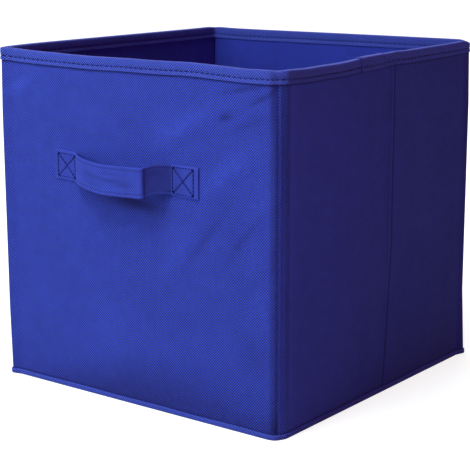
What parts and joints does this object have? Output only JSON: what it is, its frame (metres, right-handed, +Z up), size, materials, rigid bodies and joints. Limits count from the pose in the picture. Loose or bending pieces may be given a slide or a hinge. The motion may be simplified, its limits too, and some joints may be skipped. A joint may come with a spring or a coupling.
{
  "type": "fabric storage bin",
  "caption": "Open-topped cube storage bin of cloth over boards: creased side walls fold flat, the stiff base insert lifts out, and a strap handle is sewn to the front.",
  "frame": {"origin": "middle of the base, on the surface the bin stands on", "axes": "+Z up; the wall with the handle faces -Y; the creased walls that fold inward face +X and -X"},
  "size_m": [0.2824, 0.2971, 0.2806],
  "materials": {
    "outer_cloth": "matte",
    "lining_cloth": "matte",
    "tape": "matte",
    "strap": "matte",
    "thread": "satin",
    "board": "matte"
  },
  "bodies": {
    "back_wall": {"back_outer_cloth": "outer_cloth", "back_board": "board", "back_lining": "lining_cloth", "back_rim_tape": "tape", "base_cloth": "outer_cloth", "base_tape_front": "tape", "base_tape_back": "tape", "base_tape_left": "tape", "base_tape_right": "tape"},
    "left_rear_half": {"left_rear_outer_cloth": "outer_cloth", "left_rear_board": "board", "left_rear_lining": "lining_cloth", "left_rear_rim_tape": "tape"},
    "left_front_half": {"left_front_outer_cloth": "outer_cloth", "left_front_board": "board", "left_front_lining": "lining_cloth", "left_front_rim_tape": "tape"},
    "front_wall": {"front_outer_cloth": "outer_cloth", "front_board": "board", "front_lining": "lining_cloth", "front_rim_tape": "tape", "handle_left_end": "strap", "handle_right_end": "strap"},
    "right_rear_half": {"right_rear_outer_cloth": "outer_cloth", "right_rear_board": "board", "right_rear_lining": "lining_cloth", "right_rear_rim_tape": "tape"},
    "right_front_half": {"right_front_outer_cloth": "outer_cloth", "right_front_board": "board", "right_front_lining": "lining_cloth", "right_front_rim_tape": "tape", "rim_tape_lap": "tape"},
    "insert": {"insert_cover": "lining_cloth", "insert_board": "board", "insert_lining": "lining_cloth"},
    "handle": {"handle_strap": "strap"}
  },
  "joints": [
    {"name": "right_rear_corner", "type": "hinge", "parent": "back_wall", "child": "right_rear_half", "pos_m": [0.1354, 0.1354, 0.14], "axis": [0, 0, -1], "range_deg": [0, 88], "deforming": ["base_cloth", "base_tape_front", "base_tape_left", "base_tape_right"]},
    {"name": "right_crease", "type": "hinge", "parent": "right_rear_half", "child": "right_front_half", "pos_m": [0.1409, 0, 0.14], "axis": [0, 0, -1], "range_deg": [-176, 0]},
    {"name": "right_front_corner", "type": "hinge", "parent": "right_front_half", "child": "front_wall", "pos_m": [0.1354, -0.1354, 0.14], "axis": [0, 0, -1], "range_deg": [0, 88]},
    {"name": "left_front_corner", "type": "hinge", "parent": "front_wall", "child": "left_front_half", "pos_m": [-0.1354, -0.1354, 0.14], "axis": [0, 0, -1], "range_deg": [0, 88]},
    {"name": "left_rear_corner", "type": "hinge", "parent": "back_wall", "child": "left_rear_half", "pos_m": [-0.1354, 0.1354, 0.14], "axis": [0, 0, 1], "range_deg": [0, 88]},
    {"name": "insert_lift", "type": "slide", "parent": "back_wall", "child": "insert", "axis": [0, 0, 1], "range_m": [0, 0.3]},
    {"name": "handle_lift", "type": "hinge", "parent": "front_wall", "child": "handle", "pos_m": [-0.01025, -0.1394, 0.2015], "axis": [-1, 0, 0], "range_deg": [0, 45]}
  ],
  "couplings": [
    {"joint": "right_crease", "follows": "right_rear_corner", "ratio": -2},
    {"joint": "right_front_corner", "follows": "right_rear_corner", "ratio": 1},
    {"joint": "left_front_corner", "follows": "right_rear_corner", "ratio": 1},
    {"joint": "left_rear_corner", "follows": "right_rear_corner", "ratio": 1}
  ]
}
